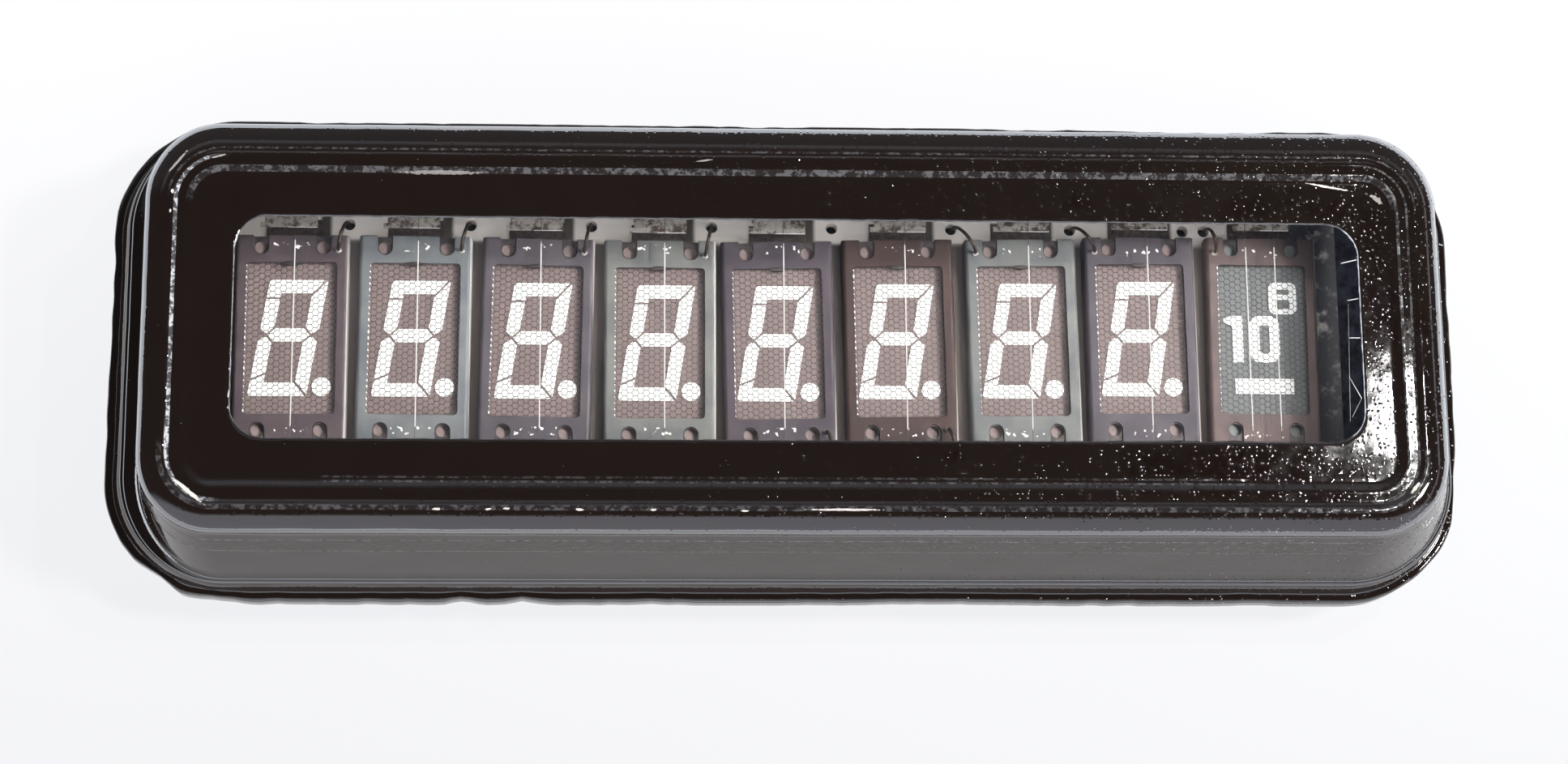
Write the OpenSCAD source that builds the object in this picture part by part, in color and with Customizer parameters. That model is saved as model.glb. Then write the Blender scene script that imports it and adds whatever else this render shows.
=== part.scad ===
// Multi-digit vacuum fluorescent display tube, millimetres, +Z out of the viewing window.
// The origin is on the surface that the pin tips stand on, below the middle of the base plate.

/* [Display] */
// Number of digits in the row
digit_count = 9; // [5:1:9]
// Distance between neighbouring digits
digit_pitch = 8.4; // [8.2:0.1:11]
// Height of the seven-segment figure
figure_h = 8.2; // [6.5:0.1:9.5]
// Width of the seven-segment figure, measured before it leans
figure_w = 4; // [3.2:0.1:4.4]
// Height of the middle bar above the middle of the figure
waist_rise = 0.2; // [0:0.05:0.5]
// Width of a segment's stroke
stroke = 0.93; // [0.6:0.01:1.1]
// Gap between neighbouring segments
segment_gap = 0.16; // [0.08:0.01:0.25]
// Sideways lean of the figure per millimetre of height
figure_lean = 0.165; // [0:0.005:0.2]
// Offset of the figure from its digit's middle, across the row's length
figure_x = -0.2; // [-0.3:0.05:0.1]
// Offset of the figure from its digit's middle, up the digit
figure_y = 0.12; // [-0.3:0.02:0.3]
// Radius of the decimal point
point_r = 0.65; // [0.4:0.05:0.7]
// Gap between the foot of the figure and the decimal point
point_gap = 0.38; // [0.2:0.02:0.5]
// Thickness of the phosphor layer
phosphor_t = 0.1; // [0.05:0.01:0.2]

/* [Grid] */
// Gap between neighbouring grid frames
frame_gap = 0.65; // [0.5:0.05:1]
// Height of a grid frame
frame_h = 14.6; // [14:0.1:18]
// Thickness of the frame's sheet
frame_t = 0.15; // [0.1:0.01:0.25]
// Outer radius of the frame's folds
frame_fold_r = 0.3; // [0.26:0.01:0.5]
// Rim of the frame beside its opening
rim_side = 0.78; // [0.6:0.02:1]
// Rim of the frame above and below its opening
rim_end = 1.95; // [1.7:0.05:2.6]
// Corner radius of the opening
opening_r = 0.3; // [0.1:0.05:0.6]
// Width of a locating notch
notch_w = 1.04; // [0.8:0.02:1.2]
// Depth of a locating notch from the frame's edge
notch_d = 1.37; // [1.1:0.01:1.6]
// Distance from the frame's folded side to the middle of a notch
notch_inset = 1.75; // [1.5:0.05:2.4]
// Distance from the frame's folded side to a grid lead's weld
weld_inset = 0.75; // [0.5:0.05:0.9]
// Distance from the frame's end to a grid lead's weld
weld_end = 1.1; // [0.6:0.1:1.4]
// Thickness of the etched mesh sheet
mesh_t = 0.05; // [0.03:0.01:0.1]
// Gap between the mesh sheet and the folded sides
mesh_gap = 0.08; // [0.05:0.01:0.15]
// Height of the frame's top face above the board
frame_rise = 1.5; // [1.4:0.05:2.6]

/* [Anodes and board] */
// Thickness of an anode plate
anode_t = 0.9; // [0.4:0.05:1]
// Gap between an anode plate and the folded sides of its frame
anode_gap = 0.3; // [0.2:0.05:0.5]
// Radius of the round hole at each end of an anode plate
anode_hole_r = 0.8; // [0.5:0.05:0.9]
// Thickness of the ceramic board
board_t = 1; // [0.6:0.1:1.6]
// Board left beyond the last digit's share of the row, at each end
board_end = 1.6; // [1:0.1:4]
// Board left beyond the grid frames, at each side
board_side = 5.2; // [5:0.1:7]
// Space between the base plate and the board
board_rise = 1.4; // [0.8:0.1:2.5]
// Offset of the display from the middle of the glass, along the tube
display_x = -0.8; // [-1:0.1:1]
// Offset of the display from the middle of the glass, across the tube
display_y = 0.25; // [-0.5:0.05:0.5]

/* [Filaments and leads] */
// Radius of the coated part of a filament
filament_r = 0.04; // [0.03:0.01:0.08]
// Radius of the bare ends of a filament
filament_end_r = 0.02; // [0.01:0.005:0.03]
// Bare end of a filament that lies over the frame
bare_over_frame = 0.8; // [0.4:0.1:1.5]
// Height of the filaments above the frames
filament_rise = 1.45; // [0.8:0.05:1.8]
// Distance of the filament from a digit's middle line
filament_x = 0.3; // [0:0.05:0.5]
// Distance between the two filaments of the last digit
filament_pair = 2; // [1.6:0.1:2.4]
// Width of a filament bracket
bracket_w = 3.6; // [3:0.1:4.5]
// Sheet thickness of a filament bracket
bracket_t = 0.2; // [0.15:0.01:0.3]
// Gap between a frame's end and the bracket's tongue
bracket_gap = 0.4; // [0.3:0.05:0.8]
// Length of the bracket's tongue
tongue_l = 1.3; // [1:0.1:1.6]
// Length of the bracket's foot
foot_l = 1.1; // [0.8:0.1:1.3]
// Radius of a grid lead wire
lead_r = 0.12; // [0.08:0.01:0.14]
// Radius of the board's lead holes
lead_hole_r = 0.4; // [0.3:0.05:0.5]
// Distance from a frame's end to the lead holes
lead_hole_y = 1.2; // [1:0.1:1.6]

/* [Glass] */
// Height of the tube's glass over the base plate's underside
glass_h = 12.4; // [11.5:0.1:16]
// Thickness of the base plate
base_t = 1.7; // [1.2:0.1:2.5]
// Corner radius of the base plate in plan
base_r = 8.5; // [8.2:0.1:12]
// Ledge of base plate left outside the cover's flange
base_ledge = 0.65; // [0.3:0.05:0.8]
// Thickness of the cover's flange
flange_t = 1.55; // [1.2:0.05:2]
// Ledge of flange left outside the cover's wall
flange_ledge = 0.55; // [0.3:0.05:0.7]
// Lean of the cover's wall in degrees
wall_lean = 15.5; // [8:0.5:17]
// Thickness of the cover's wall
wall_t = 1.8; // [1.4:0.1:2.1]
// Thickness of the cover's window panel
panel_t = 2; // [1.5:0.1:2.2]
// Radius of the cover's top edge
crown_r = 1.5; // [1:0.1:2.5]
// Depth of the dished top below its rim
dish_d = 0.25; // [0.1:0.05:0.4]
// Corner radius of the flat window panel, inside the slope from the rim
flat_r = 1.65; // [0.4:0.05:2]
// Inner radius between the cover's wall and its window panel
inner_r = 0.8; // [0.4:0.1:1.2]
// Gap between the board's end and the glass, before the display is offset
end_gap = 5.25; // [5:0.05:9]
// Gap between the board's side and the glass, before the display is offset
side_gap = 2.05; // [1:0.05:4]
// Thickness of the sealing glass between base plate and cover
seal_t = 0.15; // [0.1:0.01:0.3]
// Thickness of the black coat
coat_t = 0.08; // [0.05:0.01:0.15]

/* [Window] */
// Margin of the clear window beyond the digit row, at each end
window_end = 0.25; // [0:0.05:1]
// Margin of the clear window beyond the grid frames, at each side
window_side = 0.35; // [0:0.05:1]
// Offset of the window from the middle of the glass, along the tube
window_x = 0.35; // [-1:0.05:1]
// Offset of the window from the middle of the glass, across the tube
window_y = -0.45; // [-1:0.05:1]
// Corner radius of the window
window_r = 2.3; // [1:0.1:3]

/* [Pins and getter] */
// Distance between neighbouring pins
pin_pitch = 7.62; // [6:0.01:8.2]
// Radius of a pin below the base plate
pin_r = 0.3; // [0.2:0.05:0.4]
// How much thicker a pin is from the base plate up
pin_swell = 0.2; // [0.18:0.01:0.4]
// Length of the pins below the base plate
pin_out = 5.5; // [5:0.1:9]
// Length of the pins above the board
pin_top = 0.3; // [0.1:0.1:0.8]
// Distance from the board's side to the pins
pin_inset = 1.2; // [0.8:0.1:1.5]
// Radius of the exhaust hole in the base plate
exhaust_r = 1.1; // [0.8:0.1:1.5]
// Wall of the sealed exhaust tip
exhaust_wall = 1; // [0.7:0.1:1.4]
// Length of the sealed exhaust tip
exhaust_l = 4; // [3:0.1:4.6]
// Radius of the getter ring, to the middle of its channel
getter_r = 2; // [1.5:0.1:2.2]
// Width of the getter ring's channel
getter_w = 0.9; // [0.6:0.1:1.2]
// Distance from the board's end to the getter ring
getter_gap = 1.9; // [1.5:0.1:2.6]
// Radius of the getter's post
getter_post_r = 0.25; // [0.15:0.05:0.35]

/* [Hidden] */
$fn = 48;
fine = 24;

// Heights, from the pin tips up
base_z = pin_out;
ledge_z = base_z + base_t;
seal_z = ledge_z + seal_t;
flange_z = seal_z + flange_t;
board_z = ledge_z + board_rise;
board_top = board_z + board_t;
anode_top = board_top + anode_t;
frame_top = board_top + frame_rise;
mesh_z = frame_top - frame_t - mesh_t;
filament_z = frame_top + filament_rise;
rim_z = base_z + glass_h;
panel_z = rim_z - dish_d;
ceiling_z = panel_z - panel_t;
crown_z = rim_z - crown_r;

// Radii of the glass in its corners
flange_r = base_r - base_ledge;
wall_r = flange_r - flange_ledge;
function wall_line(z, depth) = wall_r - depth / cos(wall_lean) - (z - flange_z) * tan(wall_lean);
function tangent_r(z, depth, r) = wall_line(z + r * sin(wall_lean), depth) - r * cos(wall_lean);
rim_r = tangent_r(crown_z, 0, crown_r);
slope_w = rim_r - flat_r;
// An odd number, so that no two strips of the slope lie in one plane
slope_steps = 5;
cavity_r = wall_line(seal_z, wall_t);

// Plan sizes, from the display outwards
row_l = digit_count * digit_pitch;
frame_w = digit_pitch - frame_gap;
opening_w = frame_w - 2 * rim_side;
opening_h = frame_h - 2 * rim_end;
board_l = row_l + 2 * board_end;
board_w = frame_h + 2 * board_side;
// Whole microns, so that the corners and the sides of the glass meet exactly
function microns(length) = round(1000 * length) / 1000;
axis_x = microns(board_l / 2 + end_gap - cavity_r);
axis_y = microns(board_w / 2 + side_gap - cavity_r);
window_l = row_l + 2 * window_end;
window_w = frame_h + 2 * window_side;
anode_w = frame_w - 2 * frame_t - 2 * anode_gap;
anode_h = frame_h - 2 * anode_gap;
mesh_w = frame_w - 2 * frame_t - 2 * mesh_gap;
mesh_h = frame_h - 2 * mesh_gap;
// Two rows of pins serve the grids, the segments and the filaments
pins_per_row = digit_count + 1;
pin_row_y = board_w / 2 - pin_inset;
pin_seal_r = pin_r + pin_swell;
notch_x = frame_w / 2 - notch_inset;
notch_end = frame_h / 2 - notch_d + notch_w / 2;
anode_hole_show = 0.1;
anode_hole_y = opening_h / 2 + anode_hole_r - anode_hole_show;
point_place = [
    figure_x + figure_w / 2 - figure_lean * figure_h / 2 + point_gap + point_r,
    figure_y - figure_h / 2 + point_r];

// How far each digit sits from its even place, and how far each grid frame is turned
digit_shift_x = [0, 0, 0, 0.1, -0.1, -0.1, 0.1, 0, 0.1];
digit_shift_y = [0, 0, -0.1, -0.2, -0.2, 0, 0.1, 0.3, 0.3];
frame_turn = [0.2, -0.5, -1.1, -0.1, 1, 0.9, 0.8, 0.4, -0.5];

// For each digit, the side and the end of its frame that the grid lead is welded to
lead_corners = [[1, 1], [1, 1], [1, 1], [1, 1], [1, -1], [1, -1], [-1, 1], [-1, 1], [-1, 1]];
lead_shift = -0.45;
last_lead_shift = 0.65;
spare_lead_shift = -0.85;

function digit_x(n) = (n - (digit_count + 1) / 2) * digit_pitch + digit_shift_x[n - 1];
function digit_y(n) = digit_shift_y[n - 1];
function gap_x(n) = (n - digit_count / 2) * digit_pitch;
function lead_hole_x(n) = gap_x(n) + (n == digit_count - 1 ? last_lead_shift : lead_shift);
function lead_hole(n, end) = [lead_hole_x(n), end * (frame_h / 2 + lead_hole_y)];
function lead_gap(n) = lead_corners[n - 1][0] > 0 ? n : n - 1;
function pin_x(n) = (n - (pins_per_row + 1) / 2) * pin_pitch;
function arc(centre, r, from, to, steps) =
    [for (i = [0:steps])
        let (a = from + (to - from) * i / steps)
        [centre[0] + r * cos(a), centre[1] + r * sin(a)]];

function reversed(list) = [for (i = [len(list) - 1:-1:0]) list[i]];

digits = [for (n = [1:digit_count]) n];
function per_digit(name) = [for (n = digits) str(name, n)];

// ---- Glass envelope ----

// Outside of the glass from the base plate's edge to the window panel; grow moves it outwards
function outside(grow) = concat(
    [[base_r + grow, base_z], [base_r + grow, ledge_z + grow]],
    [[flange_r + grow, ledge_z + grow], [flange_r + grow, flange_z + grow]],
    [[wall_line(flange_z + grow, -grow), flange_z + grow]],
    crown_and_dish(grow));
function crown_and_dish(grow) = concat(
    arc([rim_r, crown_z], crown_r + grow, wall_lean, 90, 6),
    [for (i = [1:slope_steps])
        let (fall = (1 + cos(180 * i / slope_steps)) / 2)
        [rim_r - slope_w * i / slope_steps, panel_z + grow + dish_d * fall]],
    [[0, panel_z + grow]]);
function cavity() = concat(
    [[0, seal_z], [cavity_r, seal_z]],
    arc([tangent_r(ceiling_z - inner_r, wall_t, inner_r), ceiling_z - inner_r], inner_r, wall_lean, 90, 4),
    [[0, ceiling_z]]);

// Sweeps a section round the rectangle with rounded corners
module swept_ring(section) {
    for (turn = [0:3]) {
        along = turn % 2 == 0 ? axis_x : axis_y;
        across = turn % 2 == 0 ? axis_y : axis_x;
        rotate(90 * turn) translate([along, across, 0]) {
            rotate_extrude(angle = 90) polygon(section);
            translate([-2 * along, 0, 0]) rotate([90, 0, 90]) linear_extrude(2 * along) polygon(section);
        }
    }
}

// The same for a half section that reaches the corner's middle, with the space inside filled
module rounded_body(section) {
    swept_ring(section);
    middle = [for (p = section) if (p[0] == 0) p[1]];
    translate([-axis_x, -axis_y, min(middle)])
        cube([2 * axis_x, 2 * axis_y, max(middle) - min(middle)]);
}

module slab(r, low, high) rounded_body([[0, low], [r, low], [r, high], [0, high]]);

module rounded_rectangle(size, r) {
    square([size[0] - 2 * r, size[1]], center = true);
    square([size[0], size[1] - 2 * r], center = true);
    for (x = [-1, 1], y = [-1, 1])
        translate([x * (size[0] / 2 - r), y * (size[1] / 2 - r)]) circle(r, $fn = fine);
}

module pin_places(side) {
    for (n = [1:pins_per_row])
        translate([display_x + pin_x(n), display_y + side * pin_row_y, 0]) children();
}

module base_glass() color([0.75, 0.8, 0.8]) difference() {
    slab(base_r, base_z, ledge_z);
    translate([0, 0, base_z]) linear_extrude(3 * base_t, center = true) {
        pin_places(1) circle(pin_seal_r);
        pin_places(-1) circle(pin_seal_r);
        circle(exhaust_r);
    }
}

module seal_bead() color([0.35, 0.33, 0.3]) difference() {
    slab(flange_r, ledge_z, seal_z);
    slab(cavity_r, ledge_z - seal_t, seal_z + seal_t);
}

module glass_cover() color([0.8, 0.85, 0.85]) difference() {
    rounded_body(concat(
        [[0, seal_z], [flange_r, seal_z], [flange_r, flange_z], [wall_r, flange_z]],
        crown_and_dish(0)));
    rounded_body(cavity());
}

// The coat follows the glass from the base plate's edge over the top, round the clear window
module black_coat() color([0.09, 0.08, 0.08]) difference() {
    rounded_body(concat(outside(coat_t), reversed(outside(0))));
    translate([window_x, window_y, ceiling_z])
        linear_extrude(rim_z - ceiling_z + 1) rounded_rectangle([window_l, window_w], window_r);
}

module exhaust_tip() color([0.75, 0.8, 0.8]) translate([0, 0, base_z]) mirror([0, 0, 1])
    rotate_extrude() difference() {
        tip_outline(exhaust_r + exhaust_wall, exhaust_l);
        tip_outline(exhaust_r, exhaust_l - exhaust_wall);
    }

// Half section of a tube that is drawn out to a rounded tip
module tip_outline(r, length) {
    shoulder = length - 1.25 * r;
    polygon(concat(
        [[0, 0], [r, 0]],
        [for (i = [0:6]) [r * cos(15 * i), shoulder + (length - shoulder) * sin(15 * i)]]));
}

// ---- Pins, board and getter ----

module pin_row(side) color([0.72, 0.7, 0.66]) pin_places(side) {
    cylinder(h = base_z, r = pin_r);
    translate([0, 0, base_z]) cylinder(h = board_top + pin_top - base_z, r = pin_seal_r);
}

module front_pins() pin_row(-1);

module back_pins() pin_row(1);

module board_holes() {
    for (side = [-1, 1], n = [1:pins_per_row])
        translate([pin_x(n), side * pin_row_y]) circle(pin_seal_r);
    for (n = [1:digit_count - 1]) translate(lead_hole(n, 1)) circle(lead_hole_r);
    for (n = digits)
        if (lead_corners[n - 1][1] < 0) translate(lead_hole(lead_gap(n), -1)) circle(lead_hole_r);
    translate([gap_x(digit_count - 1) + spare_lead_shift, frame_h / 2 + lead_hole_y]) circle(lead_hole_r);
    for (n = [1:digit_count - 1], side = [-1, 1])
        translate([digit_x(n), digit_y(n) + side * anode_hole_y]) circle(anode_hole_r);
}

module ceramic_board() color([0.87, 0.84, 0.79])
    translate([display_x, display_y, board_z]) linear_extrude(board_t) difference() {
        square([board_l, board_w], center = true);
        board_holes();
    }

module at_getter() translate([display_x + board_l / 2 + getter_gap, display_y, 0]) children();

module getter_ring() color([0.5, 0.5, 0.52])
    at_getter() translate([0, 0, board_top + getter_r]) rotate([0, 90, 0]) rotate_extrude()
        translate([getter_r, 0]) difference() {
            square([getter_w, getter_w], center = true);
            translate([0, getter_w / 4]) square([getter_w / 2, getter_w], center = true);
        }

module getter_post() color([0.6, 0.6, 0.6]) at_getter() difference() {
    translate([0, 0, ledge_z]) cylinder(h = board_top - ledge_z, r = getter_post_r);
    translate([-getter_w, 0, board_top + getter_r]) rotate([0, 90, 0])
        cylinder(h = 2 * getter_w, r = getter_r + getter_w / 2);
}

// ---- One digit ----

module at_digit(n) translate([display_x + digit_x(n), display_y + digit_y(n), 0]) children();

module anode_plate(n) color(n == digit_count ? [0.48, 0.5, 0.5] : [0.55, 0.49, 0.48])
    at_digit(n) translate([0, 0, board_top]) linear_extrude(anode_t) difference() {
        square([anode_w, anode_h], center = true);
        if (n < digit_count)
            for (side = [-1, 1]) translate([0, side * anode_hole_y]) circle(anode_hole_r);
    }

// Straight gap of the given length between two segments, turned about its middle
module gap_line(place, length, angle) translate(place) rotate(angle)
    square([length, segment_gap], center = true);

// Wedge that opens towards one side, where an upper and a lower segment come to a point
module side_wedge(place, side) translate(place)
    polygon([[0, 0], [side * stroke, 0.9 * stroke], [side * stroke, -0.9 * stroke]]);

// The figure eight, cut into its seven segments, upright
module figure_segments() {
    half_w = figure_w / 2;
    half_h = figure_h / 2;
    in_w = half_w - stroke / 2;
    cut = 1.6 * stroke;
    difference() {
        rounded_rectangle([figure_w, figure_h], 0.25 * stroke);
        for (side = [-1, 1]) {
            hole_h = half_h - side * waist_rise - 1.5 * stroke;
            hole_y = side * (half_h - stroke - hole_h / 2);
            translate([0, hole_y]) square([figure_w - 2 * stroke, hole_h], center = true);
            for (level = [-1, 1])
                gap_line([side * (in_w - 0.25 * stroke), waist_rise + level * 0.25 * stroke],
                    cut * 0.7, side * level * -45);
            side_wedge([side * (in_w - 0.05 * stroke), waist_rise], side);
        }
        gap_line([-in_w, half_h - 1.4 * stroke], cut, 0);
        gap_line([in_w, half_h - stroke / 2], 2 * cut, 52);
        gap_line([-in_w, -half_h + 1.45 * stroke], cut, 24);
        gap_line([in_w, -half_h + stroke / 2], 2 * cut, -45);
    }
}

module leaning() multmatrix([[1, figure_lean, 0, 0], [0, 1, 0, 0], [0, 0, 1, 0], [0, 0, 0, 1]])
    children();

module seven_segments() {
    translate([figure_x, figure_y]) leaning() figure_segments();
    translate(point_place) circle(point_r);
}

// The last digit: a small eight over a ten, with a minus bar below
small_eight_place = [1.57, 3.1];
small_eight_size = [1.94, 2.26];
ten_y = 0.15;
ten_h = 3.33;
one_x = -1.69;
one_w = 0.72;
zero_x = 0.2;
zero_w = 2.1;
minus_place = [0.07, -3.23];
minus_size = [4.1, 1.08];

module power_of_ten() {
    translate(small_eight_place) difference() {
        rounded_rectangle(small_eight_size, 0.45);
        translate([0, 0.47]) square([0.99, 0.38], center = true);
        translate([0, -0.43]) rounded_rectangle([1.02, 0.68], 0.15);
    }
    translate([zero_x, ten_y]) difference() {
        rounded_rectangle([zero_w, ten_h], 0.7);
        rounded_rectangle([one_w, ten_h - 2 * 0.65], 0.2);
    }
    translate([one_x, ten_y]) {
        square([one_w, ten_h], center = true);
        polygon([
            [-one_w / 2, ten_h / 2],
            [one_w / 2, ten_h / 2],
            [-one_w / 2, ten_h / 2 - one_w],
            [-0.95, ten_h / 2 - 0.45],
            [-0.95, ten_h / 2 - 0.2]]);
    }
    translate(minus_place) square(minus_size, center = true);
}

module phosphor(n) color([0.94, 0.95, 0.93])
    at_digit(n) translate([0, 0, anode_top]) linear_extrude(phosphor_t) {
        if (n == digit_count) power_of_ten();
        else seven_segments();
    }

module at_frame(n) at_digit(n) rotate(frame_turn[n - 1]) children();

module grid_mesh(n) color([0.4, 0.38, 0.37])
    at_frame(n) translate([0, 0, mesh_z]) linear_extrude(mesh_t) difference() {
        square([mesh_w, mesh_h], center = true);
        for (x = [-1, 1], y = [-1, 1]) translate([x * notch_x, y * notch_end]) circle(0.42 * notch_w);
    }

// Section across a frame: a flat top with both sides folded down to the board
module frame_section() difference() {
    union() {
        translate([-frame_w / 2, 0]) square([frame_w, frame_rise - frame_fold_r]);
        translate([-frame_w / 2 + frame_fold_r, 0]) square([frame_w - 2 * frame_fold_r, frame_rise]);
        for (x = [-1, 1])
            translate([x * (frame_w / 2 - frame_fold_r), frame_rise - frame_fold_r])
                circle(frame_fold_r, $fn = fine);
    }
    translate([-frame_w / 2 + frame_t, -1]) square([frame_w - 2 * frame_t, frame_rise - frame_t + 1]);
}

module notch_outline() {
    translate([0, notch_end]) circle(notch_w / 2);
    translate([-notch_w / 2, notch_end]) square([notch_w, frame_h]);
}

frame_tints = [
    [0.33, 0.29, 0.33], [0.55, 0.62, 0.63], [0.3, 0.32, 0.37], [0.53, 0.57, 0.52], [0.29, 0.29, 0.33],
    [0.3, 0.24, 0.22], [0.48, 0.52, 0.5], [0.33, 0.31, 0.34], [0.38, 0.31, 0.29]];

module grid_frame(n) color(frame_tints[n - 1])
    at_frame(n) translate([0, 0, board_top]) difference() {
        rotate([90, 0, 0]) linear_extrude(frame_h, center = true) frame_section();
        translate([0, 0, frame_rise - 2 * frame_t]) linear_extrude(3 * frame_t) {
            rounded_rectangle([opening_w, opening_h], opening_r);
            for (x = [-1, 1], end = [0, 1]) mirror([0, end]) translate([x * notch_x, 0]) notch_outline();
        }
    }

// ---- Filaments, their brackets and the grid leads ----

function filament_places(n) = n == digit_count
    ? [-filament_pair / 2 - filament_x, filament_pair / 2 - filament_x]
    : [filament_x];

filament_l = frame_h + 2 * (bracket_gap + tongue_l);
coated_l = frame_h - 2 * bare_over_frame;

module filament(n) color([0.93, 0.92, 0.9]) at_digit(n)
    for (x = filament_places(n)) translate([x, 0, filament_z]) rotate([90, 0, 0]) {
        cylinder(h = coated_l, r = filament_r, center = true, $fn = fine);
        cylinder(h = filament_l, r = filament_end_r, center = true, $fn = fine);
    }

bracket_top = filament_z - filament_end_r;

// Section of a bracket: foot on the board, riser, and a tongue that reaches towards the frame
module bracket_section() {
    near = frame_h / 2 + bracket_gap;
    riser = near + tongue_l;
    square_from(near, riser, bracket_top - bracket_t, bracket_top);
    square_from(riser, riser + bracket_t, board_top, bracket_top);
    square_from(riser, riser + foot_l, board_top, board_top + bracket_t);
}

module square_from(x0, x1, y0, y1) translate([x0, y0]) square([x1 - x0, y1 - y0]);

module brackets(end) color([0.62, 0.59, 0.55])
    for (n = digits) at_digit(n) mirror([0, end, 0])
        translate([-bracket_w / 2, 0, 0]) rotate([90, 0, 90]) linear_extrude(bracket_w) bracket_section();

module filament_springs() brackets(0);

module filament_anchors() brackets(1);

lead_bend_r = 0.35;
lead_top = frame_top + 0.55;

// A wire that rises through the board, bends over the frame's end and comes down on the frame
module lead_wire(hole, weld) {
    run = norm(weld - hole);
    heading = atan2(weld[1] - hole[1], weld[0] - hole[0]);
    translate([hole[0], hole[1], 0]) rotate(heading) {
        translate([0, 0, board_z]) cylinder(h = lead_top - lead_bend_r - board_z, r = lead_r, $fn = fine);
        lead_bend();
        translate([lead_bend_r, 0, lead_top]) rotate([0, 90, 0])
            cylinder(h = run - 2 * lead_bend_r, r = lead_r, $fn = fine);
        translate([run, 0, 0]) mirror([1, 0, 0]) lead_bend();
        translate([run, 0, frame_top])
            cylinder(h = lead_top - lead_bend_r - frame_top, r = lead_r, $fn = fine);
    }
}

module lead_bend() translate([lead_bend_r, 0, lead_top - lead_bend_r]) rotate([90, 0, 0]) rotate(90)
    rotate_extrude(angle = 90) translate([lead_bend_r, 0]) circle(lead_r, $fn = fine);

module grid_leads() color([0.45, 0.38, 0.33]) translate([display_x, display_y, 0])
    for (n = digits) {
        side = lead_corners[n - 1][0];
        end = lead_corners[n - 1][1];
        weld = [
            digit_x(n) + side * (frame_w / 2 - weld_inset),
            digit_y(n) + end * (frame_h / 2 - weld_end)];
        lead_wire(lead_hole(lead_gap(n), end), weld);
    }

base_glass();
seal_bead();
glass_cover();
black_coat();
exhaust_tip();
front_pins();
back_pins();
ceramic_board();
getter_ring();
getter_post();
filament_springs();
filament_anchors();
grid_leads();
for (n = digits) {
    anode_plate(n);
    phosphor(n);
    grid_mesh(n);
    grid_frame(n);
    filament(n);
}
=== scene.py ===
"""A nine-digit vacuum fluorescent display tube: painted glass, etched meshes, stained metal and studio light."""

import math

import bmesh
import bpy
import numpy as np
from mathutils import Matrix, Vector
from mathutils.geometry import tessellate_polygon


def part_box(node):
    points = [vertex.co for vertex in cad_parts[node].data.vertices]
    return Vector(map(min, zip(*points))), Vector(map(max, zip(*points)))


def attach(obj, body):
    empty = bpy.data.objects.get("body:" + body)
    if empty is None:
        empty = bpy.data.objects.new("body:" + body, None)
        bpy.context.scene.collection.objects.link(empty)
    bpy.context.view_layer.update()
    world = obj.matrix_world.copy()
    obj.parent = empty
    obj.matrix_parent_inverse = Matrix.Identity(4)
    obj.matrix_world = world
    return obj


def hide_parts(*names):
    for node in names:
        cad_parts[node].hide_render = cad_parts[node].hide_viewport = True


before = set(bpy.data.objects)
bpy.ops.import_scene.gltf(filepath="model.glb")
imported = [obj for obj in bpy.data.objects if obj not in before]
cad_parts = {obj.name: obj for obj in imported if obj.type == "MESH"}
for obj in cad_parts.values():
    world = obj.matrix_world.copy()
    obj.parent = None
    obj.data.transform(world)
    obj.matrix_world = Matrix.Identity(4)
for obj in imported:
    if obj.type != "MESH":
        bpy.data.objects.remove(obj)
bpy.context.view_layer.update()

# Lengths are in millimetres until a mesh, lamp or camera is made.
MM = 0.001
DIGITS = range(1, 10)
LAST = 9


def box(node):
    """Lowest and highest corner of a CAD node, in millimetres."""
    low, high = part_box(node)
    return np.array(low) / MM, np.array(high) / MM


# ---- Sizes ----

# The glass, as in the CAD model
BASE_R = 8.5
FLANGE_T = 1.55
FLANGE_LEDGE = 0.55
FLANGE_SLANT = 0.33
WALL_LEAN = math.radians(15.5)
WALL_T = 1.8
PANEL_T = 2.0
CROWN_R = 1.9
DISH_D = 0.25
FLAT_R = 1.65
INNER_R = 0.8
WINDOW = {"middle": (0.35, -0.45), "size": (76.1, 15.3), "r": 2.3}

base_low, base_high = box("base_glass")
cover_low, cover_high = box("glass_cover")
coat_low, coat_high = box("black_coat")
BASE_Z, LEDGE_Z = base_low[2], base_high[2]
SEAL_Z, RIM_Z = cover_low[2], cover_high[2]
AXIS_X, AXIS_Y = base_high[0] - BASE_R, base_high[1] - BASE_R
FLANGE_R = cover_high[0] - AXIS_X
COAT_T = coat_high[2] - RIM_Z
FLANGE_Z = SEAL_Z + FLANGE_T
WALL_R = FLANGE_R - FLANGE_LEDGE
CROWN_Z = RIM_Z - CROWN_R
PANEL_Z = RIM_Z - DISH_D
CEILING_Z = PANEL_Z - PANEL_T


# ---- Mesh helpers ----

def mesh_piece(name, points, faces, material, smooth=True, body="root"):
    """Makes a mesh object from points in millimetres and lets it ride on a body."""
    mesh = bpy.data.meshes.new(name)
    mesh.from_pydata((np.asarray(points, float) * MM).tolist(), [], faces)
    mesh.validate()
    if smooth:
        mesh.shade_smooth()
    piece = bpy.data.objects.new(name, mesh)
    bpy.context.scene.collection.objects.link(piece)
    piece.data.materials.append(material)
    if body:
        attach(piece, body)
    return piece


def skin(rings, closed_section):
    """Faces that join rings of equal length, each ring a closed loop."""
    count, around = len(rings), len(rings[0])
    points = np.concatenate(rings)
    faces = []
    for k in range(count if closed_section else count - 1):
        a, b = k * around, (k + 1) % count * around
        for i in range(around):
            j = (i + 1) % around
            faces.append((a + i, a + j, b + j, b + i))
    return points, faces


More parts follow.
